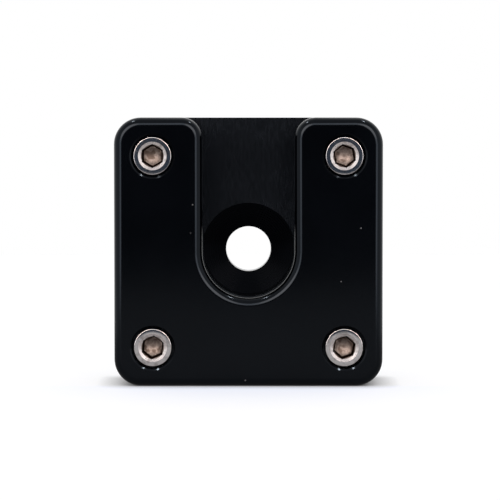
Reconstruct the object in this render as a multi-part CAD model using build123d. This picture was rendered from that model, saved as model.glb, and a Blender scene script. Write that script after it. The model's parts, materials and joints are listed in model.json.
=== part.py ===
"""Machined mounting block: one solid of aluminium with an open slot, and its four cap screws.

The frame has +Z up and its origin on the bore's axis, in the plane of the back face. The
front face looks along -Y, and the block stands on its lower face. All sizes are millimetres.
"""

from build123d import *
import math
import os

# The block
BLOCK_WIDTH = 70.0
BLOCK_HEIGHT = 70.0
BLOCK_THICKNESS = 25.0
CORNER_RADIUS = 7.0
FRONT_ROUNDING = 2.15       # round all the way along the front outline, slot included
BACK_EDGE_BREAK = 0.5       # chamfer round the back face and its holes

# The slot, open at the front and at the top, with a round lower end on the bore's axis
SLOT_WIDTH = 24.0
SLOT_DEPTH = 15.0
MOUTH_RADIUS = 5.5          # rounded corners where the slot's walls meet the top face
LIP_WIDTH = 0.25            # step left round the slot's lower end, under the front rounding
LIP_DROP = 1.0              # from the end of the front rounding down to the step
LIP_BREAK = 0.2             # chamfer on the step's edge
LIP_START = 7.5             # height over the bore's axis where the step runs out to nothing
LIP_RUN_OUT = 2.5           # length over which it does so

# The bore and the conical seat that leads into it from the slot's floor
BORE_DIAMETER = 12.0
SEAT_DIAMETER = 24.8
SEAT_ANGLE = 120.0          # included angle of the cone

# The cap screws: M6 socket heads
SCREW_SPACING_X = 50.0
SCREW_SPACING_Z = 50.0
THREAD_DIAMETER = 6.0       # over the crests, where the thread stands out of the back
SHANK_DIAMETER = 5.35       # inside the block, at the thread's mean diameter
SHANK_LENGTH = 25.0         # under the head, thread included
THREAD_END_BREAK = 0.8
HEAD_DIAMETER = 10.0
HEAD_HEIGHT = 6.0
HEAD_EDGE_BREAK = 0.25
SOCKET_ACROSS_FLATS = 5.0
SOCKET_DEPTH = 3.0
SOCKET_MOUTH_DIAMETER = 7.4  # countersink round the socket
SOCKET_MOUTH_ANGLE = 120.0
DRILL_POINT_ANGLE = 120.0   # at the bottom of the socket
SOCKET_TURNS = {            # how far each socket is turned from a corner at the top, in degrees
    (-1, 1): 0.0,
    (1, 1): 9.0,
    (-1, -1): -6.5,
    (1, -1): -11.5,
}

# Fits of the screws in the block
HEAD_RECESS = 1.5           # head's top below the front face
COUNTERBORE_CLEARANCE = 0.5  # radial, round the head
COUNTERBORE_BREAK = 0.4     # chamfer on the counterbore's rim
THREAD_CLEARANCE = 0.3      # radial, round the thread

CUT_MARGIN = 5.0            # how far cutting bodies run past the faces they open

# Worked out from the sizes above
COUNTERBORE_DEPTH = HEAD_HEIGHT + HEAD_RECESS
COUNTERBORE_RADIUS = HEAD_DIAMETER / 2 + COUNTERBORE_CLEARANCE
SHANK_HOLE_RADIUS = THREAD_DIAMETER / 2 + THREAD_CLEARANCE
FLOOR_HEIGHT = BLOCK_THICKNESS - SLOT_DEPTH
LIP_DEPTH = FRONT_ROUNDING + LIP_DROP
HEAD_SEAT_HEIGHT = BLOCK_THICKNESS - COUNTERBORE_DEPTH


def cone_depth(wide_diameter, narrow_diameter, included_angle):
    """Length of a cone between two diameters."""
    return (wide_diameter - narrow_diameter) / 2 / math.tan(math.radians(included_angle / 2))


def upright(sketch, height):
    """Lay a front-view sketch in the block, at a height over the back face (towards -Y)."""
    return Plane.XZ.offset(height) * sketch


def drilled(profile_points):
    """Turn a (radius, height over the back face) outline about the bore's axis."""
    outline = make_face(Polyline(*profile_points, close=True))
    turned = revolve(outline, Axis.Y, 360)
    return Rot(180, 0, 0) * turned


def at_screws(solid):
    """Copies of a solid at the four screw places, keyed by (side, level)."""
    return {
        (side, level): Pos(side * SCREW_SPACING_X / 2, 0, level * SCREW_SPACING_Z / 2) * solid
        for side, level in SOCKET_TURNS
    }


def slot_outline():
    """Front view of the slot: round lower end, straight walls and a mouth with round corners."""
    half = SLOT_WIDTH / 2
    top = BLOCK_HEIGHT / 2
    walls = Pos(0, (top + CUT_MARGIN) / 2) * Rectangle(SLOT_WIDTH, top + CUT_MARGIN)
    flare_height = MOUTH_RADIUS + CUT_MARGIN
    flare_middle = top - MOUTH_RADIUS + flare_height / 2
    flare = Pos(0, flare_middle) * Rectangle(SLOT_WIDTH + 2 * MOUTH_RADIUS, flare_height)
    for side in (-1, 1):
        flare -= Pos(side * (half + MOUTH_RADIUS), top - MOUTH_RADIUS) * Circle(MOUTH_RADIUS)
    return Circle(half) + walls + flare


def lip_outline():
    """Front view of the slot below the step: the same walls, drawn in round the lower end."""
    half = SLOT_WIDTH / 2
    drawn_in = half - LIP_WIDTH
    reach = half + CUT_MARGIN
    keep = make_face(Polyline(
        (-reach, LIP_START), (-half, LIP_START), (-drawn_in, LIP_START - LIP_RUN_OUT),
        (-drawn_in, 0), (drawn_in, 0), (drawn_in, LIP_START - LIP_RUN_OUT), (half, LIP_START),
        (reach, LIP_START), (reach, BLOCK_HEIGHT), (-reach, BLOCK_HEIGHT), close=True,
    ))
    lower_end = Circle(drawn_in) + Pos(0, BLOCK_HEIGHT / 2) * Rectangle(2 * drawn_in, BLOCK_HEIGHT)
    above = Pos(0, LIP_START + BLOCK_HEIGHT / 2) * Rectangle(BLOCK_WIDTH, BLOCK_HEIGHT)
    return slot_outline() & (lower_end + keep + above)


def blank():
    """The rounded square of solid stock, with the slot's upper part cut."""
    stock = extrude(upright(RectangleRounded(BLOCK_WIDTH, BLOCK_HEIGHT, CORNER_RADIUS), 0),
                    BLOCK_THICKNESS)
    upper_slot = extrude(upright(slot_outline(), BLOCK_THICKNESS - LIP_DEPTH),
                         LIP_DEPTH + CUT_MARGIN)
    body = stock - upper_slot
    front = body.faces().sort_by(Axis.Y)[0]
    body = fillet(front.outer_wire().edges(), FRONT_ROUNDING)
    back = body.faces().sort_by(Axis.Y)[-1]
    return chamfer(back.outer_wire().edges(), BACK_EDGE_BREAK)


def with_lower_slot(body):
    """Cut the slot down to its floor, and break the edge of the step."""
    body -= extrude(upright(lip_outline(), FLOOR_HEIGHT), SLOT_DEPTH)
    step_y = -(BLOCK_THICKNESS - LIP_DEPTH)
    inside = SLOT_WIDTH / 2 - LIP_WIDTH / 2
    edges = [
        edge for edge in body.edges()
        if abs(edge.center().Y - step_y) < 1e-3 and edge.length > LIP_RUN_OUT
        and edge.center().Z < LIP_START - LIP_RUN_OUT
        and math.hypot((edge @ 0.5).X, min((edge @ 0.5).Z, 0)) < inside
    ]
    return chamfer(edges, LIP_BREAK)


def seat_and_bore():
    """What the bore and its conical seat take out, the seat kept inside the slot's walls."""
    seat_radius = SEAT_DIAMETER / 2
    bore_radius = BORE_DIAMETER / 2
    depth = cone_depth(SEAT_DIAMETER, BORE_DIAMETER, SEAT_ANGLE)
    cone = drilled([
        (0, FLOOR_HEIGHT), (seat_radius, FLOOR_HEIGHT), (bore_radius, FLOOR_HEIGHT - depth),
        (0, FLOOR_HEIGHT - depth),
    ])
    under_slot = extrude(upright(lip_outline(), 0), FLOOR_HEIGHT)
    bore = drilled([
        (0, FLOOR_HEIGHT - depth), (bore_radius, FLOOR_HEIGHT - depth),
        (bore_radius, BACK_EDGE_BREAK), (bore_radius + BACK_EDGE_BREAK, 0), (0, 0),
    ])
    return (cone & under_slot) + bore


def screw_hole():
    """What one counterbored screw hole takes out, with the edges broken at both ends."""
    return drilled([
        (0, BLOCK_THICKNESS), (COUNTERBORE_RADIUS + COUNTERBORE_BREAK, BLOCK_THICKNESS),
        (COUNTERBORE_RADIUS, BLOCK_THICKNESS - COUNTERBORE_BREAK),
        (COUNTERBORE_RADIUS, HEAD_SEAT_HEIGHT), (SHANK_HOLE_RADIUS, HEAD_SEAT_HEIGHT),
        (SHANK_HOLE_RADIUS, BACK_EDGE_BREAK), (SHANK_HOLE_RADIUS + BACK_EDGE_BREAK, 0), (0, 0),
    ])


def mounting_block():
    """The finished block."""
    body = with_lower_slot(blank()) - seat_and_bore()
    for hole in at_screws(screw_hole()).values():
        body -= hole
    return body


def turned_screw():
    """A screw without its socket, seated at its height in the block."""
    top = HEAD_SEAT_HEIGHT + HEAD_HEIGHT
    head_radius = HEAD_DIAMETER / 2
    shank_radius = SHANK_DIAMETER / 2
    thread_radius = THREAD_DIAMETER / 2
    tip = HEAD_SEAT_HEIGHT - SHANK_LENGTH
    mouth_radius = SOCKET_MOUTH_DIAMETER / 2
    mouth_depth = cone_depth(SOCKET_MOUTH_DIAMETER, 0, SOCKET_MOUTH_ANGLE)
    return drilled([
        (0, top - mouth_depth), (mouth_radius, top), (head_radius - HEAD_EDGE_BREAK, top),
        (head_radius, top - HEAD_EDGE_BREAK), (head_radius, HEAD_SEAT_HEIGHT),
        (shank_radius, HEAD_SEAT_HEIGHT), (shank_radius, 0), (thread_radius, 0),
        (thread_radius, tip + THREAD_END_BREAK), (thread_radius - THREAD_END_BREAK, tip), (0, tip),
    ])


def socket(turn):
    """What the hexagon socket takes out, turned from a corner at the top."""
    top = HEAD_SEAT_HEIGHT + HEAD_HEIGHT
    floor = top - SOCKET_DEPTH
    corner_radius = SOCKET_ACROSS_FLATS / 2 / math.cos(math.radians(30))
    hexagon = Rot(0, 0, 90 + turn) * RegularPolygon(corner_radius, 6)
    broach = extrude(upright(hexagon, floor), SOCKET_DEPTH)
    point_radius = SOCKET_ACROSS_FLATS / 2
    point = drilled([
        (0, floor), (point_radius, floor),
        (0, floor - cone_depth(SOCKET_ACROSS_FLATS, 0, DRILL_POINT_ANGLE)),
    ])
    return broach + point


def cap_screws():
    """The four screws, each a solid of its own, with its socket turned as it was tightened."""
    screws = []
    for place, plain in at_screws(turned_screw()).items():
        side, level = place
        middle = Pos(side * SCREW_SPACING_X / 2, 0, level * SCREW_SPACING_Z / 2)
        screws.append((plain - middle * socket(SOCKET_TURNS[place])).solids()[0])
    return Compound(children=screws)


os.makedirs("parts", exist_ok=True)
export_step(mounting_block(), "parts/mounting_block.step")
export_step(cap_screws(), "parts/cap_screws.step")
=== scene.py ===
"""Dressed model of a machined mounting block with an open slot and four cap screws.

The block keeps the solid's own form, merged and smoothed, under a black anodised finish.
The screws are made anew with sockets, knurled heads and threads. All lengths are metres.
"""

import json
import logging
import math
from dataclasses import dataclass, field
from enum import Enum

import bmesh
import bpy
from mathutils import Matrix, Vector

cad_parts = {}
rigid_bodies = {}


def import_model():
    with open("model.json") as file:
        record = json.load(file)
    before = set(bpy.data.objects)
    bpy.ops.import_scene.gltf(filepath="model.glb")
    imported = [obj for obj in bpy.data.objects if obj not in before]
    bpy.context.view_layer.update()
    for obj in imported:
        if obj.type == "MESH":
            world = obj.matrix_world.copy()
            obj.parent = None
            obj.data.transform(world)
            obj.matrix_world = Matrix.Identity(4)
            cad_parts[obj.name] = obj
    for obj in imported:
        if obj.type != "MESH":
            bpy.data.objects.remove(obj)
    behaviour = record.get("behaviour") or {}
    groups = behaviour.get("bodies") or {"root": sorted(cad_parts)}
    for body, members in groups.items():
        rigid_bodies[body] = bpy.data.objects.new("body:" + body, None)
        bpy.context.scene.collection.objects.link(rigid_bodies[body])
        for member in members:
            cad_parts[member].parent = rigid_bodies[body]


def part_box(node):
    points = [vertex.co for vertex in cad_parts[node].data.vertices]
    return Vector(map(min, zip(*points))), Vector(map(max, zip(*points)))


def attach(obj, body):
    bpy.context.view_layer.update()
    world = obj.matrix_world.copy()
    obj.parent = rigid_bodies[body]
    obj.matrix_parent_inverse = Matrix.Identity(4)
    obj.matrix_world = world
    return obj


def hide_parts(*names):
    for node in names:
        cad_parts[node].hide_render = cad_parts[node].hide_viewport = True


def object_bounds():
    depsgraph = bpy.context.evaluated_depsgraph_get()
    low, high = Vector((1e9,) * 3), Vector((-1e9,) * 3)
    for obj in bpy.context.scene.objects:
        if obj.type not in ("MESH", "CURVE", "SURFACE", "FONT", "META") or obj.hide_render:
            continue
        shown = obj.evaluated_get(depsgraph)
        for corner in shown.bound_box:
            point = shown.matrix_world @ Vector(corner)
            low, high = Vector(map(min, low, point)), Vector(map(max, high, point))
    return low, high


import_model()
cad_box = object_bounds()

LOG = logging.getLogger("mounting_block")
MM = 0.001
ROOT = "root"
GRAIN_DETAIL = 3.0
WOBBLE_SCALE = 900.0   # waves for each metre that make turned rings uneven
WOBBLE = 4.0           # how far they shift a ring, in radians
SPECK_CORE = 0.05      # a speck is solid inside this share of its cell
SPECK_RIM = 0.16       # and gone outside this one
SHARP_ANGLE = 25.0     # degrees, on the screws

Colour = tuple[float, float, float]
Socket = bpy.types.NodeSocket
BLACK: Colour = (0.0, 0.0, 0.0)


class Node(Enum):
    """Names of the solids that this scene dresses."""

    BLOCK = "mounting_block"
    SCREWS = "cap_screws"


class Blend(Enum):
    """Ways in which two values or colours are joined."""

    ADD = "ADD"
    SUBTRACT = "SUBTRACT"
    MULTIPLY = "MULTIPLY"
    DIVIDE = "DIVIDE"
    MAXIMUM = "MAXIMUM"
    ABSOLUTE = "ABSOLUTE"
    LESS_THAN = "LESS_THAN"
    GREATER_THAN = "GREATER_THAN"
    SINE = "SINE"


class Wiring:
    """Short ways to add and join shader nodes in one tree."""

    def __init__(self, tree: bpy.types.NodeTree) -> None:
        """Keep the tree that the nodes go into."""
        self.tree = tree

    def node(self, kind: str, **settings: object) -> bpy.types.Node:
        """Add a node.

        Args:
            kind: Blender's name of the node type.
            **settings: properties to set on it.

        Returns:
            The new node.
        """
        made = self.tree.nodes.new(kind)
        for name, value in settings.items():
            setattr(made, name, value)
        return made

    def feed(self, target: Socket, source: object) -> None:
        """Link a socket to the target, or set the target's value."""
        if isinstance(source, bpy.types.NodeSocket):
            self.tree.links.new(source, target)
        elif isinstance(source, tuple) and len(source) == 3 and target.type == "RGBA":
            target.default_value = (*source, 1.0)
        else:
            target.default_value = source

    def math(self, how: Blend, first: object, second: object = 0.0) -> Socket:
        """Join two values.

        Args:
            how: the operation.
            first: a socket or number.
            second: a socket or number.

        Returns:
            The result's socket.
        """
        made = self.node("ShaderNodeMath", operation=how.value)
        self.feed(made.inputs[0], first)
        self.feed(made.inputs[1], second)
        return made.outputs[0]

    def ramp(self, value: object, start: float, end: float,
             low: float = 0.0, high: float = 1.0) -> Socket:
        """A smooth step of a value.

        Args:
            value: a socket or number.
            start: where the step starts.
            end: where the step ends.
            low: result before the start.
            high: result past the end.

        Returns:
            The result's socket.
        """
        made = self.node("ShaderNodeMapRange", interpolation_type="SMOOTHSTEP")
        for name, given in (("Value", value), ("From Min", start), ("From Max", end),
                            ("To Min", low), ("To Max", high)):
            self.feed(made.inputs[name], given)
        return made.outputs["Result"]

    def mix(self, factor: object, first: object, second: object) -> Socket:
        """Fade from the first colour to the second.

        Args:
            factor: a socket or number from 0 to 1.
            first: the colour at 0.
            second: the colour at 1.

        Returns:
            The result's socket.
        """
        made = self.node("ShaderNodeMix", data_type="RGBA")
        self.feed(made.inputs[0], factor)
        self.feed(made.inputs[6], first)
        self.feed(made.inputs[7], second)
        return made.outputs[2]

    def noise(self, place: Socket, scale: float, detail: float = 2.0) -> Socket:
        """Noise value at a place.

        Args:
            place: the vector socket.
            scale: waves for each metre.
            detail: octaves.

        Returns:
            The noise's value socket.
        """
        made = self.node("ShaderNodeTexNoise")
        self.feed(made.inputs["Vector"], place)
        self.feed(made.inputs["Scale"], scale)
        self.feed(made.inputs["Detail"], detail)
        return made.outputs[0]

    def stretch(self, place: Socket, scale: tuple[float, float, float]) -> Socket:
        """Scale a place differently along each axis.

        Args:
            place: the vector socket.
            scale: factor along each axis.

        Returns:
            The scaled vector's socket.
        """
        made = self.node("ShaderNodeMapping")
        self.feed(made.inputs["Vector"], place)
        made.inputs["Scale"].default_value = scale
        return made.outputs["Vector"]

    def coordinates(self) -> tuple[Socket, Socket, Socket, Socket]:
        """Object coordinates, whole and as X, Y and Z.

        Returns:
            The vector's socket and its three parts.
        """
        place = self.node("ShaderNodeTexCoord").outputs["Object"]
        parts = self.node("ShaderNodeSeparateXYZ")
        self.feed(parts.inputs[0], place)
        return place, parts.outputs[0], parts.outputs[1], parts.outputs[2]

    def distance(self, first: Socket, second: Socket) -> Socket:
        """Length of a flat vector given by its two parts.

        Args:
            first: one part.
            second: the other part.

        Returns:
            The length's socket.
        """
        flat = self.node("ShaderNodeCombineXYZ")
        self.feed(flat.inputs[0], first)
        self.feed(flat.inputs[1], second)
        length = self.node("ShaderNodeVectorMath", operation="LENGTH")
        self.feed(length.inputs[0], flat.outputs[0])
        return length.outputs["Value"]

    def along(self, direction: Socket, axis: tuple[float, float, float]) -> Socket:
        """How far a direction points along an axis.

        Args:
            direction: the direction's socket.
            axis: a vector of length 1.

        Returns:
            The cosine's socket.
        """
        made = self.node("ShaderNodeVectorMath", operation="DOT_PRODUCT")
        self.feed(made.inputs[0], direction)
        made.inputs[1].default_value = axis
        return made.outputs["Value"]

    def bump(self, height: Socket, distance: float, strength: float = 1.0) -> Socket:
        """Normal from a height.

        Args:
            height: the height's socket.
            distance: length that a height of 1 stands for, in metres.
            strength: how much of the bump is used.

        Returns:
            The normal's socket.
        """
        made = self.node("ShaderNodeBump")
        self.feed(made.inputs["Height"], height)
        made.inputs["Distance"].default_value = distance
        made.inputs["Strength"].default_value = strength
        return made.outputs["Normal"]

    def group(self, tree: bpy.types.NodeTree, **values: object) -> bpy.types.Node:
        """Place a shared effect with its own values.

        Args:
            tree: the node group.
            **values: inputs by name, with _ for a space.

        Returns:
            The group's node.
        """
        made = self.node("ShaderNodeGroup", node_tree=tree)
        for name, value in values.items():
            self.feed(made.inputs[name.replace("_", " ").title()], value)
        return made


def new_group(
    name: str, inputs: dict[str, tuple[str, float]], outputs: dict[str, str],
) -> tuple[bpy.types.NodeTree, Wiring, bpy.types.Node, bpy.types.Node]:
    """Start a shader node group.

    Args:
        name: the group's name.
        inputs: socket type and default by name.
        outputs: socket type by name.

    Returns:
        The tree, its wiring, its input node and its output node.
    """
    tree = bpy.data.node_groups.new(name, "ShaderNodeTree")
    for title, (kind, value) in inputs.items():
        made = tree.interface.new_socket(title, in_out="INPUT", socket_type=kind)
        if kind == "NodeSocketFloat":
            made.default_value = value
    for title, kind in outputs.items():
        tree.interface.new_socket(title, in_out="OUTPUT", socket_type=kind)
    wiring = Wiring(tree)
    return tree, wiring, wiring.node("NodeGroupInput"), wiring.node("NodeGroupOutput")


def fine_grain() -> bpy.types.NodeTree:
    """Shared effect: the even, fine tooth of a finished metal surface.

    Returns:
        A group with inputs Place, Scale and Cloud Scale, and outputs Grain and Clouds.
    """
    tree, wiring, given, made = new_group(
        "Fine Grain",
        {"Place": ("NodeSocketVector", 0.0), "Scale": ("NodeSocketFloat", 5000.0),
         "Cloud Scale": ("NodeSocketFloat", 60.0)},
        {"Grain": "NodeSocketFloat", "Clouds": "NodeSocketFloat"})
    place = given.outputs["Place"]
    wiring.feed(made.inputs["Grain"], wiring.noise(place, given.outputs["Scale"], GRAIN_DETAIL))
    wiring.feed(made.inputs["Clouds"], wiring.noise(place, given.outputs["Cloud Scale"]))
    return tree


def turned_marks() -> bpy.types.NodeTree:
    """Shared effect: the fine rings that a turning or boring tool leaves.

    Returns:
        A group with inputs Radius, Pitch and Place, and output Rings from 0 to 1.
    """
    tree, wiring, given, made = new_group(
        "Turned Marks",
        {"Radius": ("NodeSocketFloat", 0.0), "Pitch": ("NodeSocketFloat", 0.00012),
         "Place": ("NodeSocketVector", 0.0)},
        {"Rings": "NodeSocketFloat"})
    turns = wiring.math(Blend.DIVIDE, given.outputs["Radius"], given.outputs["Pitch"])
    uneven = wiring.noise(given.outputs["Place"], WOBBLE_SCALE)
    phase = wiring.math(Blend.ADD, wiring.math(Blend.MULTIPLY, turns, 2 * math.pi),
                        wiring.math(Blend.MULTIPLY, uneven, WOBBLE))
    wave = wiring.math(Blend.SINE, phase)
    half = wiring.math(Blend.MULTIPLY, wave, 0.5)
    wiring.feed(made.inputs["Rings"], wiring.math(Blend.ADD, half, 0.5))
    return tree


def dust() -> bpy.types.NodeTree:
    """Shared effect: sparse specks of lint and dust.

    Returns:
        A group with inputs Place, Scale and Amount, and output Specks from 0 to 1.
    """
    tree, wiring, given, made = new_group(
        "Dust",
        {"Place": ("NodeSocketVector", 0.0), "Scale": ("NodeSocketFloat", 400.0),
         "Amount": ("NodeSocketFloat", 0.02)},
        {"Specks": "NodeSocketFloat"})
    cells = wiring.node("ShaderNodeTexVoronoi", feature="F1")
    wiring.feed(cells.inputs["Vector"], given.outputs["Place"])
    wiring.feed(cells.inputs["Scale"], given.outputs["Scale"])
    chosen = wiring.node("ShaderNodeSeparateColor")
    wiring.feed(chosen.inputs[0], cells.outputs["Color"])
    rare = wiring.math(Blend.LESS_THAN, chosen.outputs[0], given.outputs["Amount"])
    near = wiring.ramp(cells.outputs["Distance"], SPECK_CORE, SPECK_RIM, 1.0, 0.0)
    wiring.feed(made.inputs["Specks"], wiring.math(Blend.MULTIPLY, rare, near))
    return tree


@dataclass(frozen=True)
class SharedEffects:
    """The node groups that the finishes are made with."""

    grain: bpy.types.NodeTree = field(default_factory=fine_grain)
    rings: bpy.types.NodeTree = field(default_factory=turned_marks)
    specks: bpy.types.NodeTree = field(default_factory=dust)


@dataclass(frozen=True)
class Nick:
    """A small bright mark where the black finish is nicked, on the front face."""

    x: float
    z: float
    size: float = 0.35 * MM
    bright: float = 0.5


@dataclass(frozen=True)
class BlackAnodised:
    """Black anodised aluminium, satin, with a rougher slot floor and a turned seat."""

    colour: Colour = (0.0010, 0.0013, 0.0021)
    floor_colour: Colour = (0.0062, 0.0072, 0.0092)
    tint: Colour = (0.74, 0.86, 1.0)
    nick_colour: Colour = (0.55, 0.56, 0.58)
    roughness: float = 0.135
    floor_roughness: float = 0.21
    lip_roughness: float = 0.45
    ior: float = 1.33
    grain_depth: float = 0.25e-6
    grain_scale: float = 5200.0
    cloud_scale: float = 55.0
    brush_scale: float = 1900.0
    brush_stretch: tuple[float, float, float] = (1.0, 1.0, 0.2)
    brush_depth: float = 16.0
    face_shade: float = 0.5
    floor_shade: float = 0.6
    floor_margin: float = 0.02 * MM
    lip_margin: float = 0.15 * MM
    nick_reach: float = 1.0 * MM
    nicks: tuple[Nick, ...] = (
        Nick(-14.5 * MM, 12.4 * MM, 0.30 * MM, 0.22),
        Nick(-15.0 * MM, 5.0 * MM, 0.25 * MM, 0.12),
        Nick(29.2 * MM, 6.3 * MM, 0.3 * MM, 0.3),
        Nick(24.1 * MM, -7.6 * MM, 0.25 * MM, 0.25),
        Nick(-0.8 * MM, -33.4 * MM, 0.3 * MM, 0.3),
    )

    def material(self, effects: SharedEffects, block: "MountingBlock") -> bpy.types.Material:
        """Build the finish.

        Args:
            effects: the shared node groups.
            block: the block, for the places of its floor, lip and front face.

        Returns:
            The material.
        """
        made = bpy.data.materials.new("black_anodised")
        made.use_nodes = True
        wiring = Wiring(made.node_tree)
        shader = made.node_tree.nodes["Principled BSDF"]
        shader.inputs["IOR"].default_value = self.ior
        shader.inputs["Specular Tint"].default_value = (*self.tint, 1.0)
        place, x, y, z = wiring.coordinates()
        floor = self.floor_mask(wiring, y, block)
        lip = self.lip_mask(wiring, y, block)
        grain = wiring.group(effects.grain, place=place, scale=self.grain_scale,
                             cloud_scale=self.cloud_scale)
        brushed = wiring.noise(wiring.stretch(place, self.brush_stretch), self.brush_scale,
                               GRAIN_DETAIL)

        clouds = wiring.ramp(grain.outputs["Clouds"], 0.3, 0.7, 0.75, 1.25)
        streaks = wiring.math(Blend.MULTIPLY, clouds, wiring.ramp(brushed, 0.36, 0.64, 0.6, 1.4))
        plain = wiring.mix(wiring.math(Blend.MULTIPLY, clouds, self.face_shade), BLACK, self.colour)
        worn = wiring.mix(wiring.math(Blend.MULTIPLY, streaks, self.floor_shade), BLACK,
                          self.floor_colour)
        colour = wiring.mix(floor, plain, worn)
        nicked = self.nick_mask(wiring, x, y, z, block)
        wiring.feed(shader.inputs["Base Color"], wiring.mix(nicked, colour, self.nick_colour))

        rough = wiring.math(Blend.ADD, self.roughness,
                            wiring.math(Blend.MULTIPLY, floor, self.floor_roughness - self.roughness))
        rough = wiring.math(Blend.ADD, rough,
                            wiring.math(Blend.MULTIPLY, lip, self.lip_roughness - self.roughness))
        uneven = wiring.ramp(grain.outputs["Clouds"], 0.3, 0.7, 0.94, 1.06)
        rough = wiring.math(Blend.MULTIPLY, rough, uneven)
        wiring.feed(shader.inputs["Roughness"], rough)

        streaked = wiring.math(Blend.MULTIPLY, brushed, floor)
        height = wiring.math(Blend.ADD, grain.outputs["Grain"],
                             wiring.math(Blend.MULTIPLY, streaked, self.brush_depth))
        wiring.feed(shader.inputs["Normal"], wiring.bump(height, self.grain_depth))
        return made

    def floor_mask(self, wiring: Wiring, y: Socket, block: "MountingBlock") -> Socket:
        """Where the slot's flat floor is, 0 to 1."""
        off = wiring.math(Blend.ABSOLUTE, wiring.math(Blend.SUBTRACT, y, block.floor_y))
        return wiring.math(Blend.LESS_THAN, off, self.floor_margin)

    def lip_mask(self, wiring: Wiring, y: Socket, block: "MountingBlock") -> Socket:
        """Where the broken edge of the slot's lip is, 0 to 1."""
        lip_y = block.front_y + block.lip_depth
        off = wiring.math(Blend.ABSOLUTE, wiring.math(Blend.SUBTRACT, y, lip_y))
        return wiring.math(Blend.LESS_THAN, off, self.lip_margin)

    def nick_mask(self, wiring: Wiring, x: Socket, y: Socket, z: Socket,
                  block: "MountingBlock") -> Socket:
        """Where the nicks in the front face are, 0 to 1."""
        total: object = 0.0
        for nick in self.nicks:
            away = wiring.distance(wiring.math(Blend.SUBTRACT, x, nick.x),
                                   wiring.math(Blend.SUBTRACT, z, nick.z))
            spot = wiring.ramp(away, 0.0, nick.size, nick.bright, 0.0)
            total = wiring.math(Blend.MAXIMUM, spot, total)
        front = wiring.math(Blend.LESS_THAN, y, block.front_y + self.nick_reach)
        return wiring.math(Blend.MULTIPLY, total, front)


@dataclass(frozen=True)
class TurnedSeat:
    """The same black finish on the conical seat, over the fine grooves of its turning."""

    colour: Colour = (0.0010, 0.0012, 0.0018)
    tint: Colour = (0.72, 0.84, 1.0)
    roughness: float = 0.24
    drawn_out: float = 0.95
    ior: float = 1.125
    ring_pitch: float = 0.6 * MM
    ring_change: float = 0.01

    def material(self, effects: SharedEffects) -> bpy.types.Material:
        """Build the finish.

        Args:
            effects: the shared node groups.

        Returns:
            The material.
        """
        made = bpy.data.materials.new("turned_seat")
        made.use_nodes = True
        wiring = Wiring(made.node_tree)
        shader = made.node_tree.nodes["Principled BSDF"]
        shader.inputs["IOR"].default_value = self.ior
        shader.inputs["Specular Tint"].default_value = (*self.tint, 1.0)
        shader.inputs["Anisotropic"].default_value = self.drawn_out
        place, x, _, z = wiring.coordinates()
        outwards = wiring.node("ShaderNodeCombineXYZ")
        wiring.feed(outwards.inputs[0], x)
        wiring.feed(outwards.inputs[2], z)
        unit = wiring.node("ShaderNodeVectorMath", operation="NORMALIZE")
        wiring.feed(unit.inputs[0], outwards.outputs[0])
        wiring.feed(shader.inputs["Tangent"], unit.outputs[0])
        rings = wiring.group(effects.rings, radius=wiring.distance(x, z), pitch=self.ring_pitch,
                             place=place)
        shade = wiring.ramp(rings.outputs["Rings"], 0.0, 1.0, 0.8, 1.0)
        wiring.feed(shader.inputs["Base Color"], wiring.mix(shade, BLACK, self.colour))
        rough = wiring.ramp(rings.outputs["Rings"], 0.0, 1.0, self.roughness * (1 - self.ring_change),
                            self.roughness * (1 + self.ring_change))
        wiring.feed(shader.inputs["Roughness"], rough)
        return made


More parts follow.
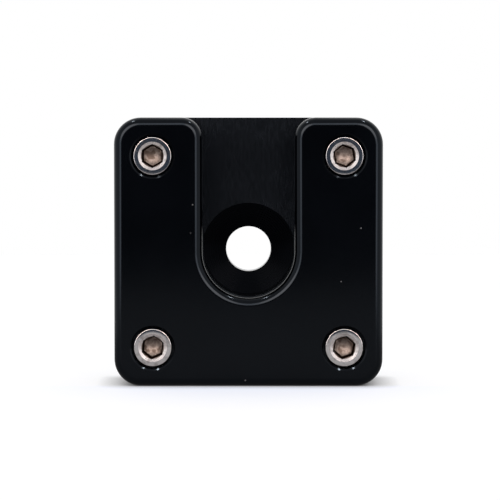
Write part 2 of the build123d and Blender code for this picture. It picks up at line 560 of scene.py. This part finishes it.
@dataclass(frozen=True)
class StainlessSteel:
    """Bright stainless steel with turned marks on the head and a browned socket, whose upright walls are
    near-black and whose floor darkens towards the middle, both painted shade.
    """

    colour: Colour = (0.78, 0.765, 0.765)
    dish_colour: Colour = (0.97, 0.90, 0.87)
    socket_colour: Colour = (0.29, 0.235, 0.205)
    # colour of stains, dust, blotches, and of the painted shade at the middle of the socket floor
    stain_and_shade_colour: Colour = (0.10, 0.07, 0.055)
    # painted shade: near-black colour for the socket's upright walls, which lie in the shade of the
    # recess
    socket_wall_shade_colour: Colour = (0.008, 0.004, 0.0025)
    wall_ior: float = 1.05
    roughness: float = 0.075
    dish_roughness: float = 0.27
    socket_roughness: float = 0.44
    wall_roughness: float = 0.9
    ring_depth: float = 0.5e-6
    ring_pitch: float = 0.13 * MM
    grain_share: float = 1.5
    grain_scale: float = 2600.0
    cloud_scale: float = 640.0
    speck_scale: float = 1500.0
    speck_amount: float = 0.05
    speck_strength: float = 0.4
    upright_limit: float = 0.35

    def material(self, effects: SharedEffects, screws: "CapScrews") -> bpy.types.Material:
        """Build the finish.

        Args:
            effects: the shared node groups.
            screws: the screws, for the sizes and places of their heads.

        Returns:
            The material.
        """
        made = bpy.data.materials.new("stainless_steel")
        made.use_nodes = True
        wiring = Wiring(made.node_tree)
        shader = made.node_tree.nodes["Principled BSDF"]
        shader.inputs["IOR"].default_value = self.wall_ior
        place, x, y, z = wiring.coordinates()
        across = wiring.math(Blend.SUBTRACT, wiring.math(Blend.ABSOLUTE, x), screws.spacing / 2)
        up = wiring.math(Blend.SUBTRACT, wiring.math(Blend.ABSOLUTE, z), screws.spacing / 2)
        radius = wiring.distance(across, up)
        head = wiring.math(Blend.LESS_THAN, y, screws.seat_y)
        narrow = wiring.math(Blend.LESS_THAN, radius, screws.socket_corner + 0.02 * MM)
        below = wiring.math(Blend.GREATER_THAN, y, screws.top_y + screws.dish_depth + 0.1 * MM)
        socket = wiring.math(Blend.MULTIPLY, wiring.math(Blend.MULTIPLY, narrow, below), head)
        inner = wiring.math(Blend.LESS_THAN, radius, screws.dish_radius)
        dish = wiring.math(Blend.MULTIPLY, inner, head)
        edge = wiring.math(Blend.GREATER_THAN, radius, screws.head_radius - screws.edge_break)
        polished = wiring.math(Blend.MAXIMUM, dish, edge)

        # painted shade: the socket's upright walls get a near-black, dull, non-metal colour in place of
        # steel
        facing = wiring.node("ShaderNodeSeparateXYZ")
        wiring.feed(facing.inputs[0], wiring.node("ShaderNodeNewGeometry").outputs["True Normal"])
        upright = wiring.math(Blend.LESS_THAN, wiring.math(Blend.ABSOLUTE, facing.outputs[1]),
                              self.upright_limit)
        wall = wiring.math(Blend.MULTIPLY, wiring.math(Blend.MULTIPLY, narrow, upright), head)
        grain = wiring.group(effects.grain, place=place, scale=self.grain_scale,
                             cloud_scale=self.cloud_scale)
        stains = wiring.ramp(grain.outputs["Clouds"], 0.46, 0.70, 0.0, 0.40)
        metal = wiring.mix(polished, self.colour, self.dish_colour)
        clean = wiring.mix(stains, metal, self.stain_and_shade_colour)
        specks = wiring.group(effects.specks, place=place, scale=self.speck_scale,
                              amount=self.speck_amount)
        blotches = wiring.math(Blend.MAXIMUM, wiring.ramp(grain.outputs["Clouds"], 0.44, 0.60, 0.0, 0.9),
                               wiring.ramp(grain.outputs["Grain"], 0.35, 0.70, 0.0, 0.5))
        # painted shade: the socket floor turns darker towards its middle, the deepest point of the drill
        # point
        socket_middle_shade = wiring.ramp(radius, 0.2 * MM, 0.75 * MM, 0.6, 0.0)
        browned = wiring.mix(wiring.math(Blend.MAXIMUM, blotches, socket_middle_shade), self.socket_colour,
                             self.stain_and_shade_colour)
        dusty = wiring.math(Blend.MULTIPLY, specks.outputs["Specks"], self.speck_strength)
        bright = wiring.mix(dusty, clean, self.stain_and_shade_colour)
        wiring.feed(shader.inputs["Base Color"],
                    wiring.mix(wall, wiring.mix(socket, bright, browned), self.socket_wall_shade_colour))

        rough = wiring.math(Blend.ADD, self.roughness,
                            wiring.math(Blend.MULTIPLY, dish, self.dish_roughness - self.roughness))
        deeper = self.socket_roughness - self.dish_roughness
        rough = wiring.math(Blend.ADD, rough, wiring.math(Blend.MULTIPLY, socket, deeper))
        uneven = wiring.ramp(grain.outputs["Clouds"], 0.35, 0.65, 0.0, 0.04)
        rough = wiring.math(Blend.ADD, rough, uneven)
        dull = wiring.math(Blend.MULTIPLY, wall, self.wall_roughness)
        rough = wiring.math(Blend.MAXIMUM, rough, dull)
        wiring.feed(shader.inputs["Roughness"], rough)
        wiring.feed(shader.inputs["Metallic"], wiring.math(Blend.SUBTRACT, 1.0, wall))
        rings = wiring.group(effects.rings, radius=radius, pitch=self.ring_pitch, place=place)
        height = wiring.math(Blend.ADD, rings.outputs["Rings"],
                             wiring.math(Blend.MULTIPLY, grain.outputs["Grain"], self.grain_share))
        wiring.feed(shader.inputs["Normal"], wiring.bump(height, self.ring_depth))
        return made


def smooth(mesh: bpy.types.Mesh, limit: float) -> None:
    """Shade a mesh smooth, apart from edges sharper than a limit.

    Args:
        mesh: the mesh.
        limit: the angle, in degrees.
    """
    mesh.shade_smooth()
    mesh.set_sharp_from_angle(angle=math.radians(limit))


def add_object(name: str, mesh: bpy.types.Mesh) -> bpy.types.Object:
    """Add a mesh to the scene at the origin.

    Args:
        name: the object's name.
        mesh: its mesh.

    Returns:
        The object.
    """
    made = bpy.data.objects.new(name, mesh)
    bpy.context.scene.collection.objects.link(made)
    return made


def baked_mesh(source: bpy.types.Object, name: str) -> bpy.types.Mesh:
    """Plain mesh of an object with its modifiers.

    Args:
        source: the object.
        name: the new mesh's name.

    Returns:
        The mesh.
    """
    graph = bpy.context.evaluated_depsgraph_get()
    mesh = bpy.data.meshes.new_from_object(source.evaluated_get(graph))
    mesh.name = name
    return mesh


def dress(piece: bpy.types.Object, node: Node, *finishes: bpy.types.Material) -> None:
    """Give a piece its finishes and tie it to the solid that it stands for.

    Args:
        piece: the piece.
        node: the solid that it replaces.
        *finishes: its materials, the main one first.
    """
    piece.data.materials.clear()
    for finish in finishes:
        piece.data.materials.append(finish)
    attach(piece, ROOT)
    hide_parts(node.value)
    names = ", ".join(finish.name for finish in finishes)
    LOG.info("%s: %d faces, finish %s", piece.name, len(piece.data.polygons), names)


@dataclass
class MountingBlock:
    """The block, with the solid's own form."""

    slot_depth: float = 15.0 * MM
    lip_depth: float = 3.25 * MM
    seat_radius: float = 12.4 * MM
    bore_radius: float = 6.0 * MM
    merge_distance: float = 0.002 * MM
    sharp_limit: float = 28.0
    front_y: float = field(init=False)
    floor_y: float = field(init=False)

    def __post_init__(self) -> None:
        """Take the front face's place from the solid."""
        self.front_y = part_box(Node.BLOCK.value)[0][1]
        self.floor_y = self.front_y + self.slot_depth

    def build(self) -> bpy.types.Object:
        """Copy the solid, merge its triangles and shade it.

        Returns:
            The block's object.
        """
        solid = next(o for o in bpy.data.objects if o.name == Node.BLOCK.value)
        mesh = solid.data.copy()
        mesh.name = "block_body"
        for layer in ("custom_normal", "sharp_edge", "sharp_face"):
            if layer in mesh.attributes:
                mesh.attributes.remove(mesh.attributes[layer])
        work = bmesh.new()
        work.from_mesh(mesh)
        bmesh.ops.remove_doubles(work, verts=work.verts, dist=self.merge_distance)
        bmesh.ops.dissolve_degenerate(work, edges=work.edges, dist=self.merge_distance)
        work.to_mesh(mesh)
        work.free()
        smooth(mesh, self.sharp_limit)
        piece = add_object("block_body", mesh)
        weighted = piece.modifiers.new("flat_faces_first", "WEIGHTED_NORMAL")
        weighted.keep_sharp = True
        weighted.weight = 100
        final = baked_mesh(piece, "block_body_finished")
        piece.modifiers.clear()
        piece.data = final
        return piece

    def mark_seat(self, piece: bpy.types.Object) -> None:
        """Give the conical seat's faces the piece's second finish."""
        for face in piece.data.polygons:
            radius = math.hypot(face.center.x, face.center.z)
            conical = -0.95 < face.normal.y < -0.3
            within = self.bore_radius < radius < self.seat_radius
            if conical and within and face.center.y > self.floor_y:
                face.material_index = 1


@dataclass
class CapScrews:
    """The four socket head cap screws."""

    spacing: float = 50.0 * MM
    head_radius: float = 5.0 * MM
    head_height: float = 6.0 * MM
    head_recess: float = 1.5 * MM
    edge_break: float = 0.25 * MM
    edge_steps: int = 6
    knurl_root: float = 4.86 * MM
    knurl_top: float = 5.0 * MM
    knurl_count: int = 60
    knurl_top_gap: float = 1.4 * MM
    grip_end: float = 1.0 * MM     # from the head's top down to where the knurled side starts
    grip_step: float = 0.15 * MM
    thread_gap: float = 0.75 * MM  # plain stretch at the tip
    dish_radius: float = 3.72 * MM
    dish_angle: float = 120.0
    across_flats: float = 5.45 * MM
    floor_flats: float = 4.5 * MM
    socket_depth: float = 3.0 * MM
    point_radius: float = 2.2 * MM
    point_depth: float = 1.2 * MM
    shank_radius: float = 2.675 * MM
    shank_length: float = 25.0 * MM
    thread_radius: float = 3.0 * MM
    core_radius: float = 2.5 * MM
    tip_radius: float = 2.15 * MM
    pitch: float = 1.0 * MM
    segments: int = 96
    turns: dict[tuple[int, int], float] = field(default_factory=lambda: {
        (-1, 1): 0.0, (1, 1): 9.0, (-1, -1): -6.5, (1, -1): -11.5})
    top_y: float = field(init=False)
    seat_y: float = field(init=False)

    def __post_init__(self) -> None:
        """Take the heads' places from the block's front face."""
        self.top_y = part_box(Node.BLOCK.value)[0][1] + self.head_recess
        self.seat_y = self.top_y + self.head_height

    @property
    def socket_corner(self) -> float:
        """Distance from the axis to the corners of the socket's mouth."""
        return self.across_flats / 2 / math.cos(math.pi / 6)

    @property
    def dish_slope(self) -> float:
        """How far the countersink narrows over its depth."""
        return math.tan(math.radians(self.dish_angle / 2))

    @property
    def dish_depth(self) -> float:
        """Depth of the countersink where the socket's corners meet it."""
        return (self.dish_radius - self.socket_corner) / self.dish_slope

    def hexagon(self, angle: float) -> float:
        """Distance from the axis to the socket's mouth at an angle, with a corner at the top."""
        sixth = math.pi / 3
        folded = (angle - math.pi / 2) % sixth - sixth / 2
        return self.across_flats / 2 / math.cos(folded)

    def hexagon_floor(self, angle: float) -> float:
        """Distance from the axis to the foot of the socket's slightly drawn-in wall."""
        return self.hexagon(angle) * self.floor_flats / self.across_flats

    def rings(self) -> list[tuple[object, object]]:
        """Radius and height of each ring from the tip to the socket's floor.

        Returns:
            Pairs, each a number or a function of the angle.
        """
        head = self.head_height
        floor = head - self.socket_depth
        base = -self.shank_length
        back_face = self.seat_y  # heights run from the seat, and the block's back lies at y 0
        return [
            (self.tip_radius, base),
            (self.core_radius, base + self.core_radius - self.tip_radius),
            (self.core_radius, back_face),
            (self.shank_radius, back_face),
            (self.shank_radius, 0.0),
            (self.knurl_root, 0.0),
            (self.knurl_root, head - self.grip_end),
            (self.head_radius, head - self.grip_end + self.grip_step),
            *self.rounded_edge(),
            (self.dish_radius, head),
            (self.hexagon, self.dish_height),
            (self.hexagon_floor, floor),
            (self.point_radius, floor),
        ]

    def dish_height(self, angle: float) -> float:
        """Height at which the socket's wall meets the countersink at an angle."""
        return self.head_height - (self.dish_radius - self.hexagon(angle)) / self.dish_slope

    def rounded_edge(self) -> list[tuple[float, float]]:
        """Radius and height of each ring round the head's rounded edge.

        Returns:
            Pairs from the side of the head up to its flat top.
        """
        turns = [math.radians(90.0 * step / self.edge_steps) for step in range(self.edge_steps + 1)]
        return [(self.head_radius - self.edge_break * (1 - math.cos(turn)),
                 self.head_height - self.edge_break * (1 - math.sin(turn))) for turn in turns]

    def body_mesh(self) -> bpy.types.Mesh:
        """One screw without its thread and knurl, head up, its seat at the origin.

        Returns:
            The mesh.
        """
        work = bmesh.new()
        loops = []
        for radius, height in self.rings():
            loop = []
            for step in range(self.segments):
                angle = math.pi / 2 + 2 * math.pi * step / self.segments
                r = radius(angle) if callable(radius) else radius
                h = height(angle) if callable(height) else height
                loop.append(work.verts.new((r * math.cos(angle), r * math.sin(angle), h)))
            loops.append(loop)
        for lower, upper in zip(loops, loops[1:]):
            for step in range(self.segments):
                after = (step + 1) % self.segments
                work.faces.new((lower[step], lower[after], upper[after], upper[step]))
        self.close(work, loops[0], -self.shank_length, False)
        self.close(work, loops[-1], self.head_height - self.socket_depth - self.point_depth, True)
        bmesh.ops.recalc_face_normals(work, faces=work.faces)
        mesh = bpy.data.meshes.new("screw_body")
        work.to_mesh(mesh)
        work.free()
        smooth(mesh, SHARP_ANGLE)
        return mesh

    def close(self, work: bmesh.types.BMesh, loop: list, height: float, upwards: bool) -> None:
        """Close a ring with a fan of faces.

        Args:
            work: the mesh being made.
            loop: the ring's vertices.
            height: the middle's height.
            upwards: whether the fan faces up.
        """
        middle = work.verts.new((0.0, 0.0, height))
        for step, vertex in enumerate(loop):
            after = loop[(step + 1) % len(loop)]
            work.faces.new((vertex, after, middle) if upwards else (after, vertex, middle))

    def places_mesh(self) -> bpy.types.Mesh:
        """One point for each screw, with the turn of its socket.

        Returns:
            The mesh of loose points.
        """
        mesh = bpy.data.meshes.new("screw_places")
        half = self.spacing / 2
        places = [(side * half, self.seat_y, level * half) for side, level in self.turns]
        mesh.from_pydata(places, [], [])
        turn = mesh.attributes.new("turn", "FLOAT", "POINT")
        for index, degrees in enumerate(self.turns.values()):
            turn.data[index].value = math.radians(degrees)
        return mesh

    def build(self, finish: bpy.types.Material) -> bpy.types.Object:
        """Make the four screws through Geometry Nodes.

        Args:
            finish: the material that the tree sets.

        Returns:
            The object of all four screws.
        """
        body = add_object("screw_pattern", self.body_mesh())
        piece = add_object("cap_screw_set", self.places_mesh())
        tree = ScrewTree().build()
        modifier = piece.modifiers.new("screws", "NODES")
        modifier.node_group = tree
        thread_run = self.shank_length + self.seat_y - self.thread_gap
        values = {
            "Body": body, "Knurl Count": self.knurl_count, "Knurl Radius": self.knurl_top,
            "Knurl Height": self.head_height - self.knurl_top_gap, "Thread Radius": self.thread_radius,
            "Thread Pitch": self.pitch, "Thread Length": thread_run,
            "Thread Base": self.thread_gap - self.shank_length, "Finish": finish,
        }
        for item in tree.interface.items_tree:
            if item.in_out == "INPUT" and item.name in values:
                modifier[item.identifier] = values[item.name]
        final = baked_mesh(piece, "cap_screw_set_finished")
        piece.modifiers.clear()
        piece.data = final
        bpy.data.objects.remove(body)
        return piece


class ScrewTree:
    """Geometry Nodes tree that knurls and threads a screw and sets one on each point."""

    INPUTS = (
        ("Points", "NodeSocketGeometry"), ("Body", "NodeSocketObject"),
        ("Knurl Count", "NodeSocketInt"), ("Knurl Radius", "NodeSocketFloat"),
        ("Knurl Height", "NodeSocketFloat"), ("Thread Radius", "NodeSocketFloat"),
        ("Thread Pitch", "NodeSocketFloat"), ("Thread Length", "NodeSocketFloat"),
        ("Thread Base", "NodeSocketFloat"), ("Finish", "NodeSocketMaterial"),
    )
    RIDGE_WIDTH = 0.2 * MM
    RIDGE_LIFT = 0.3 * MM
    RIB_SHARE = 0.43        # of the pitch, from the rib's middle to its corner
    STEPS_PER_TURN = 40
    RIB_CORNERS = 4

    def __init__(self) -> None:
        """Start the tree with its named inputs."""
        self.tree = bpy.data.node_groups.new("Cap Screws", "GeometryNodeTree")
        for name, kind in self.INPUTS:
            self.tree.interface.new_socket(name, in_out="INPUT", socket_type=kind)
        self.tree.interface.new_socket("Screws", in_out="OUTPUT", socket_type="NodeSocketGeometry")
        self.wiring = Wiring(self.tree)
        self.given = self.wiring.node("NodeGroupInput").outputs

    def spin(self, x: object, y: object, z: object) -> Socket:
        """Rotation from three angles.

        Args:
            x: angle about X.
            y: angle about Y.
            z: angle about Z.

        Returns:
            The rotation's socket.
        """
        angles = self.wiring.node("ShaderNodeCombineXYZ")
        for socket, value in zip(angles.inputs, (x, y, z)):
            self.wiring.feed(socket, value)
        made = self.wiring.node("FunctionNodeEulerToRotation")
        self.wiring.feed(made.inputs[0], angles.outputs[0])
        return made.outputs[0]

    def knurl(self) -> Socket:
        """Straight knurl round the head: thin prisms set edge outwards on a circle."""
        wiring = self.wiring
        width = self.RIDGE_WIDTH
        reach = width / math.sqrt(2)
        circle = wiring.node("GeometryNodeMeshCircle")
        wiring.feed(circle.inputs["Vertices"], self.given["Knurl Count"])
        wiring.feed(circle.inputs["Radius"],
                    wiring.math(Blend.SUBTRACT, self.given["Knurl Radius"], reach))
        size = wiring.node("ShaderNodeCombineXYZ")
        for socket, value in zip(size.inputs, (width, width, self.given["Knurl Height"])):
            wiring.feed(socket, value)
        ridge = wiring.node("GeometryNodeMeshCube")
        wiring.feed(ridge.inputs["Size"], size.outputs[0])
        index = wiring.node("GeometryNodeInputIndex").outputs[0]
        part = wiring.math(Blend.DIVIDE, index, self.given["Knurl Count"])
        angle = wiring.math(Blend.ADD, wiring.math(Blend.MULTIPLY, part, 2 * math.pi), math.pi / 4)
        placed = wiring.node("GeometryNodeInstanceOnPoints")
        wiring.feed(placed.inputs["Points"], circle.outputs["Mesh"])
        wiring.feed(placed.inputs["Instance"], ridge.outputs["Mesh"])
        wiring.feed(placed.inputs["Rotation"], self.spin(0.0, 0.0, angle))
        lifted = wiring.node("GeometryNodeTransform")
        rise = wiring.node("ShaderNodeCombineXYZ")
        half = wiring.math(Blend.MULTIPLY, self.given["Knurl Height"], 0.5)
        wiring.feed(rise.inputs[2], wiring.math(Blend.ADD, half, self.RIDGE_LIFT))
        wiring.feed(lifted.inputs["Geometry"], placed.outputs[0])
        wiring.feed(lifted.inputs["Translation"], rise.outputs[0])
        return lifted.outputs[0]

    def thread(self) -> Socket:
        """Thread: a four-cornered rib swept along a helix."""
        wiring = self.wiring
        rib = wiring.math(Blend.MULTIPLY, self.given["Thread Pitch"], self.RIB_SHARE)
        middle = wiring.math(Blend.SUBTRACT, self.given["Thread Radius"], rib)
        helix = wiring.node("GeometryNodeCurveSpiral")
        wiring.feed(helix.inputs["Resolution"], self.STEPS_PER_TURN)
        wiring.feed(helix.inputs["Rotations"],
                    wiring.math(Blend.DIVIDE, self.given["Thread Length"], self.given["Thread Pitch"]))
        wiring.feed(helix.inputs["Start Radius"], middle)
        wiring.feed(helix.inputs["End Radius"], middle)
        wiring.feed(helix.inputs["Height"], self.given["Thread Length"])
        upright = wiring.node("GeometryNodeSetCurveNormal", mode="Z_UP")
        wiring.feed(upright.inputs["Curve"], helix.outputs["Curve"])
        corners = wiring.node("GeometryNodeCurvePrimitiveCircle")
        wiring.feed(corners.inputs["Resolution"], self.RIB_CORNERS)
        wiring.feed(corners.inputs["Radius"], rib)
        swept = wiring.node("GeometryNodeCurveToMesh")
        wiring.feed(swept.inputs["Curve"], upright.outputs["Curve"])
        wiring.feed(swept.inputs["Profile Curve"], corners.outputs["Curve"])
        wiring.feed(swept.inputs["Fill Caps"], True)
        flat = wiring.node("GeometryNodeSetShadeSmooth")
        wiring.feed(flat.inputs["Geometry"], swept.outputs["Mesh"])
        wiring.feed(flat.inputs["Shade Smooth"], False)
        base = wiring.node("ShaderNodeCombineXYZ")
        wiring.feed(base.inputs[2], self.given["Thread Base"])
        moved = wiring.node("GeometryNodeTransform")
        wiring.feed(moved.inputs["Geometry"], flat.outputs[0])
        wiring.feed(moved.inputs["Translation"], base.outputs[0])
        return moved.outputs[0]

    def build(self) -> bpy.types.NodeTree:
        """Join the parts, set a screw on each point and give it the finish.

        Returns:
            The tree.
        """
        wiring = self.wiring
        body = wiring.node("GeometryNodeObjectInfo")
        wiring.feed(body.inputs["Object"], self.given["Body"])
        joined = wiring.node("GeometryNodeJoinGeometry")
        for part in (body.outputs["Geometry"], self.knurl(), self.thread()):
            self.tree.links.new(part, joined.inputs[0])
        turn = wiring.node("GeometryNodeInputNamedAttribute", data_type="FLOAT")
        turn.inputs["Name"].default_value = "turn"
        turned = wiring.math(Blend.MULTIPLY, turn.outputs["Attribute"], -1.0)
        facing = self.spin(math.pi / 2, turned, 0.0)
        placed = wiring.node("GeometryNodeInstanceOnPoints")
        wiring.feed(placed.inputs["Points"], self.given["Points"])
        wiring.feed(placed.inputs["Instance"], joined.outputs[0])
        wiring.feed(placed.inputs["Rotation"], facing)
        real = wiring.node("GeometryNodeRealizeInstances")
        wiring.feed(real.inputs[0], placed.outputs[0])
        finished = wiring.node("GeometryNodeSetMaterial")
        wiring.feed(finished.inputs["Geometry"], real.outputs[0])
        wiring.feed(finished.inputs["Material"], self.given["Finish"])
        wiring.feed(wiring.node("NodeGroupOutput").inputs[0], finished.outputs[0])
        return self.tree


@dataclass
class Studio:
    """A white tent with an opening in front, two small lamps over it and a white table."""

    camera_distance: float = 620.0 * MM
    camera_height: float = 33.4 * MM
    aim_x: float = 0.4 * MM
    aim_z: float = 0.62 * MM
    lens: float = 172.1
    sensor: float = 36.0
    table_width: float = 0.34
    table_front: float = -0.42
    table_back: float = 0.60
    lamp_x: float = 146.0 * MM
    lamp_y: float = -60.0 * MM
    lamp_z: float = 350.0 * MM
    lamp_size: float = 32.0 * MM
    lamp_power: float = 0.135
    opening: Colour = (0.028, 0.038, 0.055)
    wall: Colour = (0.72, 0.72, 0.74)
    overhead: Colour = (0.46, 0.46, 0.48)
    rim: Colour = (2.7, 2.7, 2.8)
    panel: Colour = (5.6, 5.0, 4.7)
    panel_aim: tuple[float, float, float] = (0.354, -0.866, 0.354)
    panel_ramp: tuple[float, float] = (0.945, 0.985)
    backdrop: Colour = (1.0, 1.0, 1.0)
    opening_ramp: tuple[float, float] = (0.945, 0.985)
    rim_ramp: tuple[float, float] = (0.76, 0.86)
    rim_low: tuple[float, float] = (-0.14, -0.02)
    rim_low_share: float = 0.25
    overhead_ramp: tuple[float, float] = (0.35, 0.8)
    back_ramp: tuple[float, float] = (0.05, -0.35)
    table_roughness: float = 0.9
    table_shine: float = 0.2
    table_colour: Colour = (0.27, 0.27, 0.275)
    table_glow: Colour = (0.715, 0.72, 0.73)
    shaded_glow: Colour = (0.50, 0.57, 0.76)
    table_sheen: float = 0.08
    contact_reach: float = 7.0 * MM
    shade_reach: float = 60.0 * MM
    shade_front: float = -20.0 * MM
    shade_fade: float = 15.0 * MM
    shade_samples: int = 8

    def camera(self, front_y: float) -> None:
        """Set the camera before the block.

        Args:
            front_y: the front face's place.
        """
        data = bpy.data.cameras.new("camera")
        data.lens = self.lens
        data.sensor_width = self.sensor
        made = bpy.data.objects.new("camera", data)
        bpy.context.scene.collection.objects.link(made)
        made.location = (self.aim_x, front_y - self.camera_distance, self.camera_height)
        aim = Vector((self.aim_x, front_y, self.aim_z)) - made.location
        made.rotation_mode = "QUATERNION"
        made.rotation_quaternion = aim.to_track_quat("-Z", "Y")
        bpy.context.scene.camera = made

    def lamps(self) -> None:
        """Hang the two lamps, aimed at the block."""
        for side in (-1, 1):
            data = bpy.data.lights.new(f"lamp_{side}", "AREA")
            data.shape = "DISK"
            data.size = self.lamp_size
            data.energy = self.lamp_power
            made = bpy.data.objects.new(data.name, data)
            bpy.context.scene.collection.objects.link(made)
            made.location = (side * self.lamp_x, self.lamp_y, self.lamp_z)
            made.rotation_mode = "QUATERNION"
            made.rotation_quaternion = (-made.location).to_track_quat("-Z", "Y")
            made.visible_camera = False

    def world(self) -> None:
        """Surround the block with the tent: dark opening, bright rim, dim walls, white back."""
        world = bpy.data.worlds.new("tent")
        bpy.context.scene.world = world
        world.use_nodes = True
        wiring = Wiring(world.node_tree)
        background = world.node_tree.nodes["Background"]
        direction = wiring.node("ShaderNodeTexCoord").outputs["Generated"]
        parts = wiring.node("ShaderNodeSeparateXYZ")
        wiring.feed(parts.inputs[0], direction)
        ahead = wiring.math(Blend.MULTIPLY, parts.outputs[1], -1.0)
        rim = wiring.ramp(ahead, *self.rim_ramp)
        opening = wiring.ramp(ahead, *self.opening_ramp)
        high = wiring.ramp(parts.outputs[2], *self.rim_low, self.rim_low_share, 1.0)
        above = wiring.ramp(parts.outputs[2], *self.overhead_ramp)
        colour = wiring.mix(above, self.wall, self.overhead)
        colour = wiring.mix(wiring.math(Blend.MULTIPLY, rim, high), colour, self.rim)
        for side in (-1, 1):
            aim = (side * self.panel_aim[0], *self.panel_aim[1:])
            lit = wiring.ramp(wiring.along(direction, aim), *self.panel_ramp)
            colour = wiring.mix(lit, colour, self.panel)
        colour = wiring.mix(opening, colour, self.opening)
        colour = wiring.mix(wiring.ramp(ahead, *self.back_ramp), colour, self.backdrop)
        path = wiring.node("ShaderNodeLightPath")
        seen = self.seen_directly(wiring, path)
        wiring.feed(background.inputs["Color"], wiring.mix(seen, colour, self.backdrop))

    def seen_directly(self, wiring: Wiring, path: bpy.types.Node) -> Socket:
        """Whether a ray comes straight from the view, 0 or 1."""
        return wiring.math(Blend.MAXIMUM, path.outputs["Is Camera Ray"],
                           path.outputs["Is Transmission Ray"])

    def openness(self, wiring: Wiring, reach: float) -> Socket:
        """How open the table is to the air above it, within a reach, 0 to 1."""
        made = wiring.node("ShaderNodeAmbientOcclusion", samples=self.shade_samples)
        made.inputs["Distance"].default_value = reach
        return made.outputs["AO"]

    def table(self) -> None:
        """Lay the white table under the block. Its glow, seen straight on, is painted shadow: ambient
        occlusion darkens it near the block and turns it bluer.
        """
        low = cad_box[0].z
        mesh = bpy.data.meshes.new("table")
        half, front, back = self.table_width / 2, self.table_front, self.table_back
        corners = [(-half, front, low), (half, front, low), (half, back, low), (-half, back, low)]
        mesh.from_pydata(corners, [], [(0, 1, 2, 3)])
        table = add_object("table", mesh)
        made = bpy.data.materials.new("white_table")
        made.use_nodes = True
        wiring = Wiring(made.node_tree)
        shader = made.node_tree.nodes["Principled BSDF"]
        shader.inputs["Base Color"].default_value = (*self.table_colour, 1.0)
        shader.inputs["Roughness"].default_value = self.table_roughness
        shader.inputs["Specular IOR Level"].default_value = self.table_shine
        path = wiring.node("ShaderNodeLightPath")
        seen = self.seen_directly(wiring, path)
        # painted shadow: ambient occlusion darkens the table's glow where it touches and surrounds the
        # block
        contact_shade_factor = self.openness(wiring, self.contact_reach)
        deep = wiring.coordinates()[2]
        behind = wiring.ramp(deep, self.shade_front - self.shade_fade, self.shade_front)
        surround_shade_factor = wiring.math(Blend.MAXIMUM, self.openness(wiring, self.shade_reach), behind)
        glow = wiring.math(Blend.MULTIPLY, seen, contact_shade_factor)
        sheen = wiring.math(Blend.MULTIPLY, path.outputs["Is Glossy Ray"], self.table_sheen)
        light = wiring.mix(surround_shade_factor, self.shaded_glow, self.table_glow)
        wiring.feed(shader.inputs["Emission Color"], light)
        wiring.feed(shader.inputs["Emission Strength"], wiring.math(Blend.MAXIMUM, glow, sheen))
        table.data.materials.append(made)


def main() -> None:
    """Build the block, its screws and the studio."""
    logging.basicConfig(level=logging.INFO, format="%(name)s: %(message)s")
    effects = SharedEffects()
    block = MountingBlock()
    body = block.build()
    black = BlackAnodised().material(effects, block)
    dress(body, Node.BLOCK, black, TurnedSeat().material(effects))
    block.mark_seat(body)
    screws = CapScrews()
    steel = StainlessSteel().material(effects, screws)
    dress(screws.build(steel), Node.SCREWS, steel)
    studio = Studio()
    studio.camera(block.front_y)
    studio.lamps()
    studio.world()
    studio.table()
    scene = bpy.context.scene
    scene.view_settings.view_transform = "Standard"


if __name__ == "__main__":
    main()
